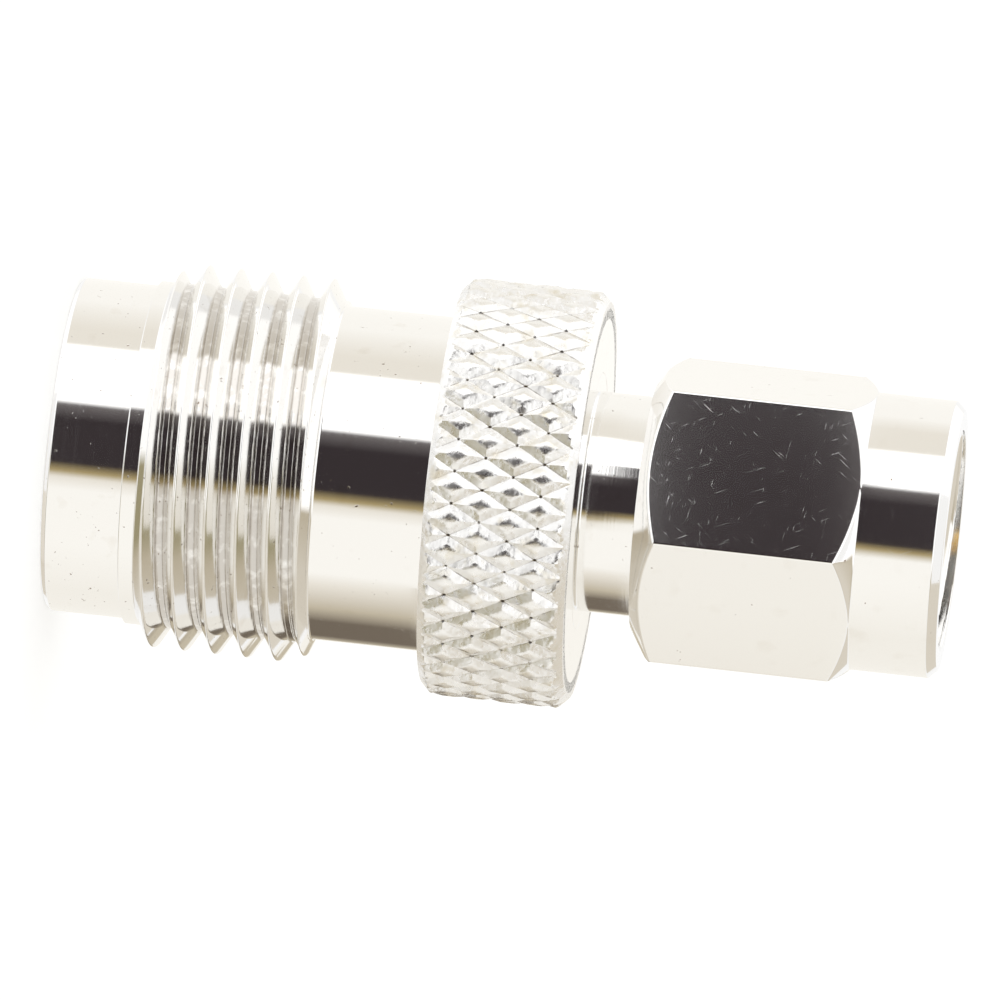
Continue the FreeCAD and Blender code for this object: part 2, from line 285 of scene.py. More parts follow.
# %% Patterns that the finishes share
def radius_and_height(tree):
    """Distance from the axis and height of a point, for what is the same all round."""
    place = add(tree, "ShaderNodeTexCoord").outputs["Object"]
    flat = add(tree, "ShaderNodeVectorMath", {0: place, 1: (1.0, 1.0, 0.0)}, operation="MULTIPLY")
    radius = add(tree, "ShaderNodeVectorMath", {0: flat.outputs[0]}, operation="LENGTH")
    height = add(tree, "ShaderNodeSeparateXYZ", {0: place})
    return Measure(tree, radius.outputs["Value"]), Measure(tree, height.outputs["Z"])


def lathe_rings(tree, spacing):
    """Noise that is the same all round the axis, in rings about spacing millimetres apart."""
    radius, height = radius_and_height(tree)
    rings = add(tree, "ShaderNodeCombineXYZ", {0: radius, 2: height})
    return add(tree, "ShaderNodeTexNoise", {
        "Vector": rings.outputs[0], "Scale": 1.0 / (spacing * MM), "Detail": 2.0}).outputs["Fac"]


def blotches(tree, size, low, high, stretch=(1.0, 1.0, 1.0), detail=3.0, turned=(0.0, 0.0, 0.0)):
    """Noise of a given size in millimetres, cut off between low and high to leave separate patches."""
    place = add(tree, "ShaderNodeTexCoord").outputs["Object"]
    if any(turned):
        place = add(tree, "ShaderNodeMapping", {"Vector": place, "Rotation": turned}).outputs[0]
    scaled = add(tree, "ShaderNodeMapping", {"Vector": place, "Scale": stretch})
    noise = add(tree, "ShaderNodeTexNoise", {
        "Vector": scaled.outputs[0], "Scale": 1.0 / (size * MM), "Detail": detail})
    patches = add(tree, "ShaderNodeMapRange", {
        "Value": noise.outputs["Fac"], "From Min": low, "From Max": high})
    return Measure(tree, patches.outputs["Result"])


def painted_hollow_shade(tree, unshaded_radius, darkest_radius, bottom, top):
    """Painted shade in patches between two heights: none out at one radius, and most at a deeper one."""
    radius, height = radius_and_height(tree)
    deep = add(tree, "ShaderNodeMapRange", {
        "Value": radius, "From Min": unshaded_radius * MM, "From Max": darkest_radius * MM})
    between = height.through("COMPARE", (bottom + top) / 2 * MM, (top - bottom) / 2 * MM)
    return Measure(tree, deep.outputs["Result"]) * between * blotches(tree, 0.30, 0.20, 0.50)


# %% From a pattern to colour, gloss and relief
def varied(tree, amount, first, second):
    """Mix a hex colour, or a colour that the tree has mixed already, with a second by an amount."""
    if isinstance(first, str):
        first = linear(first)
    return add(tree, "ShaderNodeMix", {"Factor": amount, "A": first, "B": linear(second)},
               data_type="RGBA").outputs["Result"]


def gloss(tree, amount, smooth, rough):
    """Spread an amount from 0 to 1 over two roughnesses."""
    return add(tree, "ShaderNodeMapRange", {
        "Value": amount, "To Min": smooth, "To Max": rough}).outputs["Result"]


def relief(tree, height, depth, below=None):
    """Bump of a depth in millimetres, on top of another bump if one is given."""
    sockets = {"Height": height, "Distance": depth * MM, "Strength": 1.0}
    if below is not None:
        sockets["Normal"] = below
    return add(tree, "ShaderNodeBump", sockets).outputs["Normal"]


def finish(name, metallic):
    """Start a material with its shader ready to be linked."""
    material = bpy.data.materials.new(name)
    material.use_nodes = True
    shader = material.node_tree.nodes["Principled BSDF"]
    shader.inputs["Metallic"].default_value = metallic
    return material, material.node_tree, shader


# %% Nickel plating on the turned shells
THREAD_ROOT = 4.96
THREAD_START = 2.28
THREAD_END = 7.68
TOOL_MARK = 0.0001


# Nickel over polished brass: a warm, bright mirror with rings from the turning tool under it, a few stains
# and pin-pricks, and a little painted shade down in the roots of the thread.
def turned_plating():
    material, tree, shader = finish("nickel_plated_turned_brass", 1.0)
    rings = lathe_rings(tree, 0.11)
    stains = blotches(tree, 0.9, 0.62, 0.78)
    specks = blotches(tree, 0.16, 0.70, 0.76)
    # Painted shade down in the roots of the thread, in patches, darker the deeper a point lies.
    root_shade = painted_hollow_shade(tree, unshaded_radius=THREAD_ROOT + 0.08, darkest_radius=THREAD_ROOT + 0.01,
                 bottom=THREAD_START + 0.5, top=THREAD_END - 0.2)
    stained = varied(tree, stains * 0.22, "#F4F3F1", "#CFC4B2")
    root_shaded = varied(tree, root_shade * 0.4, stained, "#80705A")
    tree.links.new(varied(tree, specks, root_shaded, "#8A7A68"), shader.inputs["Base Color"])
    tree.links.new(gloss(tree, rings, 0.04, 0.11), shader.inputs["Roughness"])
    streaks = blotches(tree, 0.45, 0.48, 0.72, stretch=(0.35, 0.35, 7.0))
    worn = relief(tree, streaks, TOOL_MARK, relief(tree, rings, TOOL_MARK))
    tree.links.new(relief(tree, specks, -0.002, worn), shader.inputs["Normal"])
    return material


turned_nickel = turned_plating()
print("made", turned_nickel.name)


# %% Nickel plating on the rolled knurl
KNURL_DEPTH = 0.15
CHAMFER_DEPTH = 0.32


# Rolling leaves the skin of the diamonds uneven. The pits where the grooves cross get painted shade: the
# deeper a point lies, the darker the material paints it.
def rolled_plating():
    material, tree, shader = finish("nickel_plated_rolled_knurl", 1.0)
    floor = COLLAR_RADIUS - KNURL_DEPTH
    # Painted shade in the pits where the grooves cross, darker the deeper a point lies.
    pit_shade = painted_hollow_shade(tree, unshaded_radius=floor - 0.018, darkest_radius=floor - 0.042,
                bottom=COLLAR_BOTTOM + CHAMFER_DEPTH, top=COLLAR_TOP - CHAMFER_DEPTH)
    stained = varied(tree, blotches(tree, 0.5, 0.55, 0.80), "#F4F3F1", "#E0D9C8")
    tree.links.new(varied(tree, pit_shade, stained, "#5E503C"), shader.inputs["Base Color"])
    uneven = blotches(tree, 0.22, 0.2, 0.8, detail=2.0)
    tree.links.new(gloss(tree, uneven, 0.22, 0.36), shader.inputs["Roughness"])
    tree.links.new(relief(tree, uneven, 0.011), shader.inputs["Normal"])
    return material


rolled_nickel = rolled_plating()
print("made", rolled_nickel.name)


# %% Nickel plating on the milled nut
# The flats were milled and tumbled before plating, so scratches run every way across the mirror.
def milled_plating():
    material, tree, shader = finish("nickel_plated_milled_brass", 1.0)
    scratches = 0.0
    for slant in (24.0, -38.0, 81.0):
        some = blotches(tree, 0.25, 0.72, 0.80, stretch=(9.0, 1.5, 0.3), detail=1.0,
                        turned=(0.0, math.radians(slant), 0.0))
        scratches = some.through("MAXIMUM", scratches)
    stains = blotches(tree, 0.8, 0.60, 0.80)
    specks = blotches(tree, 0.14, 0.74, 0.79)
    stained = varied(tree, stains * 0.10, "#F4F3F1", "#C9BBA6")
    tree.links.new(varied(tree, specks, stained, "#7E6450"), shader.inputs["Base Color"])
    tree.links.new(gloss(tree, scratches, 0.08, 0.20), shader.inputs["Roughness"])
    tree.links.new(relief(tree, scratches, -0.00015), shader.inputs["Normal"])
    return material


milled_nickel = milled_plating()
print("made", milled_nickel.name)


# %% Turned PTFE
# PTFE is a waxy, slightly translucent white that was turned, so it has soft rings and no edges.
def turned_ptfe():
    material, tree, shader = finish("turned_ptfe", 0.0)
    rings = lathe_rings(tree, 0.10)
    tree.links.new(varied(tree, blotches(tree, 1.2, 0.35, 0.7), "#F4F3EF", "#E9E7E0"),
                   shader.inputs["Base Color"])
    tree.links.new(gloss(tree, rings, 0.38, 0.55), shader.inputs["Roughness"])
    tree.links.new(relief(tree, rings, 0.004), shader.inputs["Normal"])
    shader.inputs["IOR"].default_value = 1.35
    shader.inputs["Subsurface Weight"].default_value = 0.25
    shader.inputs["Subsurface Scale"].default_value = 0.3 * MM
    return material


ptfe = turned_ptfe()
print("made", ptfe.name)


# %% Gold plating on the contacts
# Hard gold over beryllium copper: a soft yellow mirror with fine rings and a few darker spots.
def hard_gold():
    material, tree, shader = finish("gold_plated_beryllium_copper", 1.0)
    rings = lathe_rings(tree, 0.06)
    tree.links.new(varied(tree, blotches(tree, 0.35, 0.55, 0.8), "#EBC470", "#C9963F"),
                   shader.inputs["Base Color"])
    tree.links.new(gloss(tree, rings, 0.12, 0.28), shader.inputs["Roughness"])
    tree.links.new(relief(tree, rings, 0.0008), shader.inputs["Normal"])
    return material


gold = hard_gold()
print("made", gold.name)


# %% Bronze of the retaining ring
# Phosphor bronze strip, drawn and bent: browner than gold, with a dull drawn grain round the ring.
def spring_bronze():
    material, tree, shader = finish("drawn_phosphor_bronze", 1.0)
    rings = lathe_rings(tree, 0.05)
    tree.links.new(varied(tree, blotches(tree, 0.6, 0.4, 0.75), "#C99A6B", "#8E5F3B"),
                   shader.inputs["Base Color"])
    tree.links.new(gloss(tree, rings, 0.22, 0.45), shader.inputs["Roughness"])
    tree.links.new(relief(tree, rings, 0.001), shader.inputs["Normal"])
    return material


bronze = spring_bronze()
print("made", bronze.name)


# %% Silicone of the gasket
# Moulded silicone: a dull brick red that is a little powdery and slightly pitted.
def moulded_silicone():
    material, tree, shader = finish("moulded_red_silicone", 0.0)
    grain = blotches(tree, 0.08, 0.2, 0.8)
    dust = blotches(tree, 0.5, 0.45, 0.75)
    tree.links.new(varied(tree, dust, "#9C3526", "#B65A48"), shader.inputs["Base Color"])
    tree.links.new(gloss(tree, grain, 0.5, 0.72), shader.inputs["Roughness"])
    tree.links.new(relief(tree, grain, 0.004), shader.inputs["Normal"])
    shader.inputs["IOR"].default_value = 1.41
    return material


silicone = moulded_silicone()
print("made", silicone.name)

# %% [markdown]
# ## Cutting a thread
#
# A thread could be modelled turn by turn, but on the lathe it is a rule: the depth at a point
# depends only on how far the point is along the helix. So the blank gets close rows, and a
# geometry tree moves each of its points in to the thread's form. The same tree cuts the outside
# thread of the jack and the inside thread of the nut: only the two radii change places.
# The form is a 60 degree V with a narrow rounded crest. That matters for the look: light leaves
# such a V after three bounces, the way a flat mirror would send it, so the grooves show the dark
# card in front as the neck does, and only the crests draw light lines across it.


# %% Start a tree with named inputs
def start_tree(name, inputs, result):
    """Start a geometry tree. Give the tree and its inputs, each a measure, a shape or a finish."""
    tree = bpy.data.node_groups.new(name, "GeometryNodeTree")
    for title, kind in inputs.items():
        tree.interface.new_socket(title, in_out="INPUT", socket_type="NodeSocket" + kind)
    tree.interface.new_socket(result, in_out="OUTPUT", socket_type="NodeSocketGeometry")
    given = add(tree, "NodeGroupInput").outputs
    numbers = ("Float", "Int")
    return tree, {title: Measure(tree, given[title]) if kind in numbers else given[title]
                  for title, kind in inputs.items()}


# %% The thread-cutting tree
CREST_SHARE = 0.045
FLANK_FALL = math.tan(math.radians(60.0))
ROOT_BLEND = 0.03
END_BLEND = 0.10
WALL_SLACK = 0.02 * MM
END_SLACK = 0.001 * MM


def thread_tree():
    """Build the tree that cuts a right-handed thread into a blank of the crest's radius."""
    sizes = ("Start", "End", "Pitch", "Crest Radius", "Root Radius", "First Root", "Clear", "Lead In",
             "Run Out")
    inputs = {"Blank": "Geometry", **dict.fromkeys(sizes, "Float"), "Finish": "Material"}
    tree, size = start_tree("cut_thread", inputs, "Thread")
    place = add(tree, "GeometryNodeInputPosition").outputs[0]
    x, y, z = [Measure(tree, part) for part in add(tree, "ShaderNodeSeparateXYZ", {0: place}).outputs]
    angle = y.through("ARCTAN2", x)
    radius = (x * x + y * y).through("SQRT")

    # How far along the helix, in turns, and how far from the nearest crest, in metres.
    turns = (z - size["First Root"]) / size["Pitch"]
    phase = (turns - angle / math.tau).through("FRACT")
    from_crest = (phase - 0.5).through("ABSOLUTE") * size["Pitch"]

    # A flank falls straight by the tangent of 60 degrees, from a crest that is rounded as a
    # parabola. Zero is the root and one is the crest.
    span = size["Crest Radius"] - size["Root Radius"]
    crest = size["Pitch"] * CREST_SHARE
    on_crest = from_crest.through("MINIMUM", crest)
    along_flank = on_crest * on_crest / (crest * 2.0) + (from_crest - on_crest)
    fall = along_flank * FLANK_FALL / span.through("ABSOLUTE")
    form = (fall * -1.0 + 1.0).through("SMOOTH_MAX", 0.0, ROOT_BLEND)

    # The first turn deepens over the lead-in, and the last one runs out.
    lead = (z - (size["Start"] + size["Clear"])) / size["Lead In"]
    tail = (size["End"] - z) / size["Run Out"]
    form = form.through("SMOOTH_MIN", lead, END_BLEND).through("SMOOTH_MIN", tail, END_BLEND)
    form = form.through("MAXIMUM", 0.0)

    # Only the blank's own wall is cut, between the thread's two ends.
    wall = radius.through("COMPARE", size["Crest Radius"], WALL_SLACK)
    above = z.through("GREATER_THAN", size["Start"] - END_SLACK)
    below = z.through("LESS_THAN", size["End"] + END_SLACK)
    ratio = (form * span + size["Root Radius"]) / radius
    moved = add(tree, "ShaderNodeCombineXYZ", {0: x * ratio, 1: y * ratio, 2: z})
    cut = add(tree, "GeometryNodeSetPosition", {
        "Geometry": size["Blank"], "Selection": wall * above * below, "Position": moved.outputs[0]})
    real = add(tree, "GeometryNodeRealizeInstances", {0: cut.outputs[0]})
    plated = add(tree, "GeometryNodeSetMaterial", {"Geometry": real.outputs[0], "Material": size["Finish"]})
    add(tree, "NodeGroupOutput", {0: plated.outputs[0]})
    return tree


cut_thread = thread_tree()
print("thread tree:", len(cut_thread.nodes), "nodes")


# %% Run a tree on a piece and keep the plain mesh
def worked(piece, tree, **values):
    """Run a geometry tree on a piece with named inputs and keep the result as its mesh."""
    step = piece.modifiers.new(tree.name, "NODES")
    step.node_group = tree
    for socket in tree.interface.items_tree:
        if socket.item_type == "SOCKET" and socket.in_out == "INPUT" and socket.name in values:
            step[socket.identifier] = values[socket.name]
    ready = piece.evaluated_get(bpy.context.evaluated_depsgraph_get())
    mesh = bpy.data.meshes.new_from_object(ready)
    piece.modifiers.remove(step)
    old = piece.data
    piece.data = mesh
    bpy.data.meshes.remove(old)
    mesh.name = piece.name


# %% [markdown]
# ## The TNC shell
#
# Nose, thread and neck are one bar. The section runs from the mouth of the jack along the
# outside, in to the back of the collar, and back through the bore. Cylinders joined by booleans
# would give the same steps, but a section keeps the rounding of every edge. The collar's rim is
# left out of it, because the knurl is rolled as a ring of its own below.


# %% Turn the shell and cut its coupling thread
THREAD_ROW = 0.021
SHELL_COLUMNS = 224
NOSE_RADIUS = 4.82
NOSE_EDGE = 0.12
THREAD_RADIUS = 5.56
THREAD_PITCH = 0.907
FIRST_ROOT = 2.69
NECK_RADIUS = 4.83
COLLAR_CORE = COLLAR_RADIUS - 0.5
JACK_BORE = 4.05
JACK_EDGE = 0.25
JACK_DEPTH = 5.25
LIP_RADIUS = 3.30
LIP_TOP = 6.00
shell_section = rounded([
    (JACK_BORE + JACK_EDGE, NOSE_FACE, 0.03),
    (NOSE_RADIUS - NOSE_EDGE, NOSE_FACE, 0.05),
    (NOSE_RADIUS, NOSE_FACE + NOSE_EDGE, 0.05),
    (NOSE_RADIUS, THREAD_START, 0.04),
    (THREAD_RADIUS, THREAD_START, 0.0),
    (THREAD_RADIUS, THREAD_END, 0.0),
    (NECK_RADIUS, THREAD_END, 0.08),
    (NECK_RADIUS, COLLAR_BOTTOM, 0.10),
    (COLLAR_CORE, COLLAR_BOTTOM, 0.0),
    (COLLAR_CORE, COLLAR_TOP, 0.0),
    (SPIGOT_RADIUS, COLLAR_TOP, 0.02),
    (SPIGOT_RADIUS, JOINT, 0.0),
    (BODY_RADIUS, JOINT, 0.0),
    (BODY_RADIUS, LIP_TOP, 0.0),
    (LIP_RADIUS, LIP_TOP, 0.0),
    (LIP_RADIUS, JACK_DEPTH, 0.02),
    (JACK_BORE, JACK_DEPTH, 0.05),
    (JACK_BORE, NOSE_FACE + JACK_EDGE, 0.03),
])
shell_section = with_rows(shell_section, THREAD_START, THREAD_END, THREAD_RADIUS, THREAD_ROW)
tnc_shell = turn("tnc_nose_thread_and_neck", shell_section, SHELL_COLUMNS)
worked(tnc_shell, cut_thread, **{
    "Start": THREAD_START * MM, "End": THREAD_END * MM, "Pitch": THREAD_PITCH * MM,
    "Crest Radius": THREAD_RADIUS * MM, "Root Radius": THREAD_ROOT * MM, "First Root": FIRST_ROOT * MM,
    "Clear": 0.42 * MM, "Lead In": 0.25 * MM, "Run Out": 0.22 * MM, "Finish": turned_nickel})
dress(tnc_shell, "tnc_shell", "connector", turned_nickel)

# %% [markdown]
# ## The knurl
#
# A knurling tool presses two crossed sets of grooves, 30 degrees off the axis, and what stays up
# between them are diamonds, nearly twice as long as they are wide. Each is a low pyramid with a
# flat top and broken edges, and where the grooves cross, its corners run into small pits. The
# grooves could be cut by booleans, as the tool does, but eighty slanting cutters would be slow and
# leave ragged faces. Instead one diamond is modelled, bent to the collar's curve, and a tree
# repeats it: 40 round the collar, each column half a step on. Its lines lie closer where the slope
# changes, so it needs few faces.


# %% Model one diamond
KNURL_COUNT = 40
KNURL_COLUMNS = 5
COLUMN_WIDTH = COLLAR_LENGTH / KNURL_COLUMNS
HALF_STEP = math.pi / KNURL_COUNT
FLAT_TOP = 0.34
BREAK = 0.12
PIT_DEPTH = 0.035
PIT_SHARPNESS = 20
GROOVE_LINES = (-1.0, -0.88, -0.54, -0.46, -0.22, 0.22, 0.46, 0.54, 0.88, 1.0)


def sunk(first, second):
    """How far below the collar's rim a point of the diamond lies: 0 on its flat top."""
    out = max(abs(first), abs(second))
    broken = min(max(out - FLAT_TOP + BREAK, 0.0), 2 * BREAK)
    flank = broken ** 2 / (4 * BREAK) + max(out - FLAT_TOP - BREAK, 0.0)
    return KNURL_DEPTH * flank / (1.0 - FLAT_TOP) + PIT_DEPTH * abs(first * second) ** PIT_SHARPNESS


def diamond():
    """Model a diamond centred on the X axis at height 0, its grooves on the lines that it shares."""
    bm = bmesh.new()
    grid = []
    for first in GROOVE_LINES:
        line = []
        for second in GROOVE_LINES:
            radius = COLLAR_RADIUS - sunk(first, second)
            angle = HALF_STEP * (first - second) / 2
            height = COLUMN_WIDTH * (first + second) / 2
            place = Vector((radius * math.cos(angle), radius * math.sin(angle), height))
            line.append(bm.verts.new(place * MM))
        grid.append(line)

    # Four ridges run from the flat top out to the corners, and the faces there are split along them.
    last = len(grid) - 1
    for one in range(last):
        for two in range(last):
            corners = (grid[one][two], grid[one + 1][two], grid[one + 1][two + 1], grid[one][two + 1])
            if one == two != last // 2:
                bm.faces.new((corners[0], corners[1], corners[2]))
                bm.faces.new((corners[0], corners[2], corners[3]))
            elif one + two == last - 1 and one != two:
                bm.faces.new((corners[0], corners[1], corners[3]))
                bm.faces.new((corners[1], corners[2], corners[3]))
            else:
                bm.faces.new(corners)
    mesh = bpy.data.meshes.new("knurled_rim")
    bm.to_mesh(mesh)
    bm.free()
    piece = bpy.data.objects.new("knurled_rim", mesh)
    bpy.context.scene.collection.objects.link(piece)
    return piece


rim = diamond()
print("one diamond:", len(rim.data.polygons), "faces")


# %% The knurl-rolling tree
def knurl_tree():
    """Build the tree that repeats a diamond in staggered columns round the collar."""
    inputs = {
        "Diamond": "Geometry", "Round": "Int", "Columns": "Int",
        **dict.fromkeys(("Bottom", "Column Width", "Turn", "Unevenness", "Patch Size"), "Float"),
        "Finish": "Material"}
    tree, size = start_tree("roll_knurl", inputs, "Knurl")
    index = Measure(tree, add(tree, "GeometryNodeInputIndex").outputs[0])
    column = (index / size["Round"]).through("FLOOR")
    step = index.through("MODULO", size["Round"]) + column.through("MODULO", 2.0) * 0.5
    angle = step * math.tau / size["Round"] + size["Turn"]
    height = column * size["Column Width"] + size["Bottom"]
    points = add(tree, "GeometryNodePoints", {
        "Count": size["Round"] * size["Columns"],
        "Position": add(tree, "ShaderNodeCombineXYZ", {2: height}).outputs[0]})
    turned = add(tree, "FunctionNodeEulerToRotation", {
        0: add(tree, "ShaderNodeCombineXYZ", {2: angle}).outputs[0]})
    copies = add(tree, "GeometryNodeInstanceOnPoints", {
        "Points": points.outputs[0], "Instance": size["Diamond"], "Rotation": turned.outputs[0]})
    real = add(tree, "GeometryNodeRealizeInstances", {0: copies.outputs[0]})
    joined = add(tree, "GeometryNodeMergeByDistance", {"Geometry": real.outputs[0], "Distance": 0.001 * MM})

    # No two diamonds come out alike: slow noise presses the skin in here and there.
    place = add(tree, "GeometryNodeInputPosition").outputs[0]
    noise = add(tree, "ShaderNodeTexNoise", {
        "Vector": place, "Scale": size["Patch Size"].through("POWER", -1.0), "Detail": 1.0})
    flat = add(tree, "ShaderNodeVectorMath", {0: place, 1: (1.0, 1.0, 0.0)}, operation="MULTIPLY")
    outwards = add(tree, "ShaderNodeVectorMath", {0: flat.outputs[0]}, operation="NORMALIZE")
    inwards = Measure(tree, noise.outputs["Fac"]) * size["Unevenness"] * -1.0
    press = add(tree, "ShaderNodeVectorMath", {0: outwards.outputs[0], "Scale": inwards}, operation="SCALE")
    worn = add(tree, "GeometryNodeSetPosition", {"Geometry": joined.outputs[0], "Offset": press.outputs[0]})
    plated = add(tree, "GeometryNodeSetMaterial", {"Geometry": worn.outputs[0], "Material": size["Finish"]})
    add(tree, "NodeGroupOutput", {0: plated.outputs[0]})
    return tree


# Two columns more than the collar is long are rolled, because both ends are faced afterwards.
KNURL_START = COLLAR_BOTTOM - 0.07
KNURL_TURN = -HALF_STEP * 0.91
roll_knurl = knurl_tree()
worked(rim, roll_knurl, **{
    "Round": KNURL_COUNT, "Columns": KNURL_COLUMNS + 2, "Bottom": KNURL_START * MM,
    "Column Width": COLUMN_WIDTH * MM, "Turn": KNURL_TURN, "Unevenness": 0.05 * MM,
    "Patch Size": 0.40 * MM, "Finish": rolled_nickel})
print("rolled:", len(rim.data.polygons), "faces")


# %% Face the rim and chamfer it
# The rolled skin is faced at both ends and its edges are chamfered, deep enough to run through
# the grooves, and the ring is closed behind.
CHAMFER_ROWS = (0.38, 0.32, 0.24, 0.16, 0.08, 0.0)
FACE_LAND = 0.08
RIM_BORE = COLLAR_CORE - 0.3
RIM_SHARP_ANGLE = 23.0


def set_radius(vert, radius):
    """Move a point straight out or in to a radius in millimetres."""
    share = radius * MM / math.hypot(vert.co.x, vert.co.y)
    vert.co.x *= share
    vert.co.y *= share


def faced_rim(piece, inner_radius):
    """Cut the rolled skin at both faces, chamfer it and close it to a ring."""
    bm = bmesh.new()
    bm.from_mesh(piece.data)
    for height, side in ((COLLAR_BOTTOM, -1.0), (COLLAR_TOP, 1.0)):
        for inset in CHAMFER_ROWS:
            bmesh.ops.bisect_plane(
                bm, geom=bm.verts[:] + bm.edges[:] + bm.faces[:], dist=WELD, clear_outer=inset == 0.0,
                plane_co=(0, 0, (height - side * inset) * MM), plane_no=(0, 0, side))
    for vert in bm.verts:
        inset = min(vert.co.z / MM - COLLAR_BOTTOM, COLLAR_TOP - vert.co.z / MM)
        allowed = COLLAR_RADIUS - max(0.0, CHAMFER_DEPTH - inset)
        if math.hypot(vert.co.x, vert.co.y) > allowed * MM:
            set_radius(vert, allowed)
    rims = []
    for height in (COLLAR_BOTTOM, COLLAR_TOP):
        edges = [edge for edge in bm.edges
                 if edge.is_boundary and all(abs(vert.co.z / MM - height) < 0.001 for vert in edge.verts)]
        for target in (COLLAR_RADIUS - CHAMFER_DEPTH - FACE_LAND, inner_radius):
            grown = bmesh.ops.extrude_edge_only(bm, edges=edges)["geom"]
            edges = [item for item in grown if isinstance(item, bmesh.types.BMEdge)]
            for vert in {vert for edge in edges for vert in edge.verts}:
                set_radius(vert, target)
        rims += edges
    bmesh.ops.bridge_loops(bm, edges=rims)
    bpy.data.objects.remove(piece)
    return finished("knurled_collar_rim", bm, RIM_SHARP_ANGLE)


rim = faced_rim(rim, RIM_BORE)
dress(rim, "tnc_shell", "connector", rolled_nickel)

# %% [markdown]
# ## The SMA side
#
# Between the collar and the nut a short length of polished shank shows. Inside the nut, the
# shank ends in a shoulder for the silicone ring, and in the thin ferrule that meets the other
# connector at the reference plane. Pin, core and ring are turned too, so the function that turned
# the shell makes them all, each from its own section.

# %% Turn the shank and its ferrule
SHANK_RADIUS = 3.175
RING_GAP = 0.03
NUT_PLAY = 0.30
GROOVE_FLOOR = 2.80
GROOVE_BACK = RING_BACK - RING_GAP
GROOVE_FRONT = RING_FRONT + RING_GAP + NUT_PLAY
FERRULE_RADIUS = 2.30
FERRULE_EDGE = 0.08
SMA_BORE = 2.05
FLANGE_TOP = JOINT + 0.8
sma_shell = turn("sma_shank_and_ferrule", rounded([
    (FLANGE_RADIUS, JOINT, 0.0),
    (SPIGOT_RADIUS, JOINT, 0.0),
    (SPIGOT_RADIUS, COLLAR_TOP, 0.03),
    (SHANK_RADIUS, COLLAR_TOP, 0.06),
    (SHANK_RADIUS, GROOVE_BACK, 0.03),
    (GROOVE_FLOOR, GROOVE_BACK, 0.0),
    (GROOVE_FLOOR, GROOVE_FRONT, 0.0),
    (SHANK_RADIUS, GROOVE_FRONT, 0.03),
    (SHANK_RADIUS, SHOULDER, 0.05),
    (FERRULE_RADIUS, SHOULDER, 0.03),
    (FERRULE_RADIUS, REFERENCE - FERRULE_EDGE, 0.03),
    (FERRULE_RADIUS - FERRULE_EDGE, REFERENCE, 0.02),
    (SMA_BORE, REFERENCE, 0.02),
    (SMA_BORE, FLANGE_TOP, 0.0),
    (FLANGE_RADIUS, FLANGE_TOP, 0.0),
]))
dress(sma_shell, "sma_shell", "connector", turned_nickel)

# %% Turn the pin, the insulator and the gasket
TAIL_RADIUS = 0.45
PIN_RADIUS = 0.46
PIN_TAPER = 0.28
PIN_POINT = 0.4
pin = turn("sma_pin", rounded([
    (0.0, PIN_BACK, 0.0),
    (TAIL_RADIUS, PIN_BACK, 0.02),
    (TAIL_RADIUS, JOINT, 0.0),
    (CORE_RADIUS, JOINT, 0.02),
    (CORE_RADIUS, REFERENCE, 0.02),
    (PIN_RADIUS, REFERENCE, 0.02),
    (PIN_RADIUS, PIN_TIP - PIN_TAPER, 0.10),
    (PIN_RADIUS * PIN_POINT, PIN_TIP, 0.08),
    (0.0, PIN_TIP, 0.0),
]), 64)
dress(pin, "sma_pin_contact", "connector", gold)
insulator = turn("sma_ptfe_core", rounded([
    (CORE_RADIUS, JOINT, 0.0),
    (FLANGE_RADIUS, JOINT, 0.02),
    (FLANGE_RADIUS, FLANGE_TOP, 0.02),
    (SMA_BORE, FLANGE_TOP, 0.02),
    (SMA_BORE, REFERENCE, 0.04),
    (CORE_RADIUS, REFERENCE, 0.04),
]), 128)
dress(insulator, "sma_insulator", "connector", ptfe)
gasket = turn("silicone_face_ring", rounded([
    (FERRULE_RADIUS, SHOULDER, 0.08),
    (GASKET_RADIUS, SHOULDER, 0.12),
    (GASKET_RADIUS, GASKET_TOP, 0.18),
    (FERRULE_RADIUS, GASKET_TOP, 0.10),
]), 128)
dress(gasket, "face_gasket", "connector", silicone)

# %% [markdown]
# ## The coupling nut
#
# The nut starts as a turned blank: a cone at the back, the full corner radius, a cone down to the
# round front. Then six flats are milled, and where a flat meets a cone the edge is a curve.
# A boolean would leave ragged triangles there, so the section is worked out anew for each angle
# instead: the flat's own distance at that angle says where the cones begin and end.


# %% The milled outside
NUT_FLAT = 4.00
NUT_CORNER = NUT_FLAT * 2 / math.sqrt(3)
CORNER_ROUND = 0.07


def hex_radius(offset):
    """Distance of the milled outside at an angle from the nearest corner, whose edge is rounded."""
    centre = (NUT_FLAT - CORNER_ROUND) * 2 / math.sqrt(3)
    tangent = math.atan2(CORNER_ROUND * 0.5, centre + CORNER_ROUND * math.sqrt(3) / 2)
    if abs(offset) < tangent:
        return centre * math.cos(offset) + math.sqrt(CORNER_ROUND ** 2 - (centre * math.sin(offset)) ** 2)
    return NUT_FLAT / math.cos(math.pi / 6 - abs(offset))


print(f"nut {hex_radius(math.pi / 6) * 2:.2f} across the flats, {hex_radius(0.0) * 2:.2f} over the corners")


# %% The outline of the nut at one angle
HEX_TOP = NUT_BACK + 6.36
BACK_LAND = 3.55
BACK_CONE = 0.68
FRONT_CONE = 0.50
EDGE = 0.035
EDGE_SUPPORT = EDGE * 1.6
BACK_BREAK = Vector((-0.3, 0.35)) * EDGE
FRONT_BREAK = Vector((-0.3, -0.2))
FULL_EDGE = 0.12


